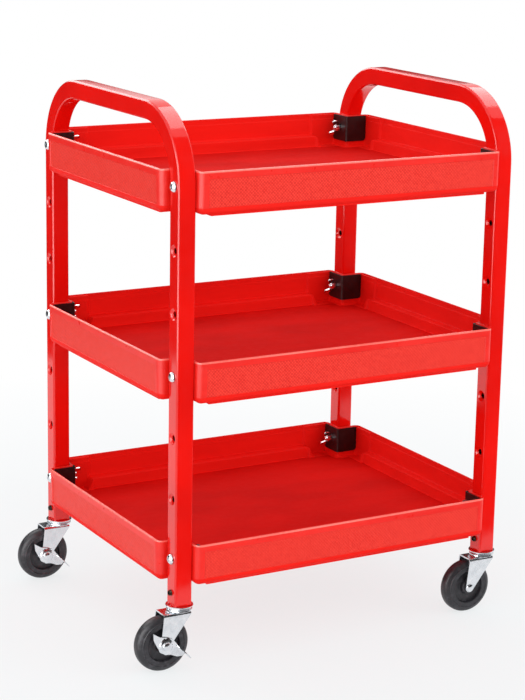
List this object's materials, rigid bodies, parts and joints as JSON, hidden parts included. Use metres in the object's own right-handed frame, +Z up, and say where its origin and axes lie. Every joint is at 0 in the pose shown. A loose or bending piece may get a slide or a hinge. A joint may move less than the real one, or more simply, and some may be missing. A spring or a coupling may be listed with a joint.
{
  "type": "rolling utility cart",
  "caption": "Rolling workshop cart: moulded trays with raised rims bolted between two bent square-tube end frames, on swivel stem casters, some with brake levers.",
  "frame": {"origin": "on the floor under the centre of the cart's bounding box, casters trailing towards -X", "axes": "+X along the cart from the braked end to the plain end, +Y from its front to its back, +Z up"},
  "size_m": [0.5766, 0.444, 0.748],
  "materials": {
    "powder_coat": "gloss red powder coat",
    "tray_plastic": "satin red moulded plastic",
    "black_steel": "satin black enamel",
    "zinc": "bright zinc plate",
    "black_oxide": "black oxide",
    "wheel": "black moulded wheel"
  },
  "bodies": {
    "cart": {"left_frame": "powder_coat", "right_frame": "powder_coat", "bottom_tray": "tray_plastic", "bottom_bracket_front_left": "black_steel", "bottom_bolt_front_left": "zinc", "bottom_wing_nut_front_left": "zinc", "bottom_bracket_front_right": "black_steel", "bottom_bolt_front_right": "zinc", "bottom_wing_nut_front_right": "zinc", "bottom_bracket_rear_left": "black_steel", "bottom_bolt_rear_left": "zinc", "bottom_wing_nut_rear_left": "zinc", "bottom_bracket_rear_right": "black_steel", "bottom_bolt_rear_right": "zinc", "bottom_wing_nut_rear_right": "zinc", "middle_tray": "tray_plastic", "middle_bracket_front_left": "black_steel", "middle_bolt_front_left": "zinc", "middle_wing_nut_front_left": "zinc", "middle_bracket_front_right": "black_steel", "middle_bolt_front_right": "zinc", "middle_wing_nut_front_right": "zinc", "middle_bracket_rear_left": "black_steel", "middle_bolt_rear_left": "zinc", "middle_wing_nut_rear_left": "zinc", "middle_bracket_rear_right": "black_steel", "middle_bolt_rear_right": "zinc", "middle_wing_nut_rear_right": "zinc", "top_tray": "tray_plastic", "top_bracket_front_left": "black_steel", "top_bolt_front_left": "zinc", "top_wing_nut_front_left": "zinc", "top_bracket_front_right": "black_steel", "top_bolt_front_right": "zinc", "top_wing_nut_front_right": "zinc", "top_bracket_rear_left": "black_steel", "top_bolt_rear_left": "zinc", "top_wing_nut_rear_left": "zinc", "top_bracket_rear_right": "black_steel", "top_bolt_rear_right": "zinc", "top_wing_nut_rear_right": "zinc", "caster_stem_front_left": "zinc", "set_screw_front_left": "black_oxide", "caster_stem_front_right": "zinc", "set_screw_front_right": "black_oxide", "caster_stem_rear_left": "zinc", "set_screw_rear_left": "black_oxide", "caster_stem_rear_right": "zinc", "set_screw_rear_right": "black_oxide"},
    "caster_front_left": {"caster_fork_front_left": "zinc"},
    "wheel_front_left": {"caster_wheel_front_left": "wheel"},
    "lever_front_left": {"brake_lever_front_left": "zinc"},
    "caster_front_right": {"caster_fork_front_right": "zinc"},
    "wheel_front_right": {"caster_wheel_front_right": "wheel"},
    "caster_rear_left": {"caster_fork_rear_left": "zinc"},
    "wheel_rear_left": {"caster_wheel_rear_left": "wheel"},
    "lever_rear_left": {"brake_lever_rear_left": "zinc"},
    "caster_rear_right": {"caster_fork_rear_right": "zinc"},
    "wheel_rear_right": {"caster_wheel_rear_right": "wheel"}
  },
  "joints": [
    {"name": "swivel_front_left", "type": "hinge", "parent": "cart", "child": "caster_front_left", "pos_m": [-0.22335, -0.19567, 0.0812], "axis": [0, 0, 1], "continuous": true},
    {"name": "wheel_spin_front_left", "type": "hinge", "parent": "caster_front_left", "child": "wheel_front_left", "pos_m": [-0.25035, -0.19567, 0.038], "axis": [0, 1, 0], "continuous": true},
    {"name": "brake_front_left", "type": "hinge", "parent": "caster_front_left", "child": "lever_front_left", "pos_m": [-0.25035, -0.20967, 0.038], "axis": [0, -1, 0], "range_deg": [0, 24]},
    {"name": "swivel_front_right", "type": "hinge", "parent": "cart", "child": "caster_front_right", "pos_m": [0.26465, -0.19567, 0.0812], "axis": [0, 0, 1], "continuous": true},
    {"name": "wheel_spin_front_right", "type": "hinge", "parent": "caster_front_right", "child": "wheel_front_right", "pos_m": [0.23765, -0.19567, 0.038], "axis": [0, 1, 0], "continuous": true},
    {"name": "swivel_rear_left", "type": "hinge", "parent": "cart", "child": "caster_rear_left", "pos_m": [-0.22335, 0.19833, 0.0812], "axis": [0, 0, 1], "continuous": true},
    {"name": "wheel_spin_rear_left", "type": "hinge", "parent": "caster_rear_left", "child": "wheel_rear_left", "pos_m": [-0.25035, 0.19833, 0.038], "axis": [0, 1, 0], "continuous": true},
    {"name": "brake_rear_left", "type": "hinge", "parent": "caster_rear_left", "child": "lever_rear_left", "pos_m": [-0.25035, 0.18433, 0.038], "axis": [0, -1, 0], "range_deg": [0, 24]},
    {"name": "swivel_rear_right", "type": "hinge", "parent": "cart", "child": "caster_rear_right", "pos_m": [0.26465, 0.19833, 0.0812], "axis": [0, 0, 1], "continuous": true},
    {"name": "wheel_spin_rear_right", "type": "hinge", "parent": "caster_rear_right", "child": "wheel_rear_right", "pos_m": [0.23765, 0.19833, 0.038], "axis": [0, 1, 0], "continuous": true}
  ]
}
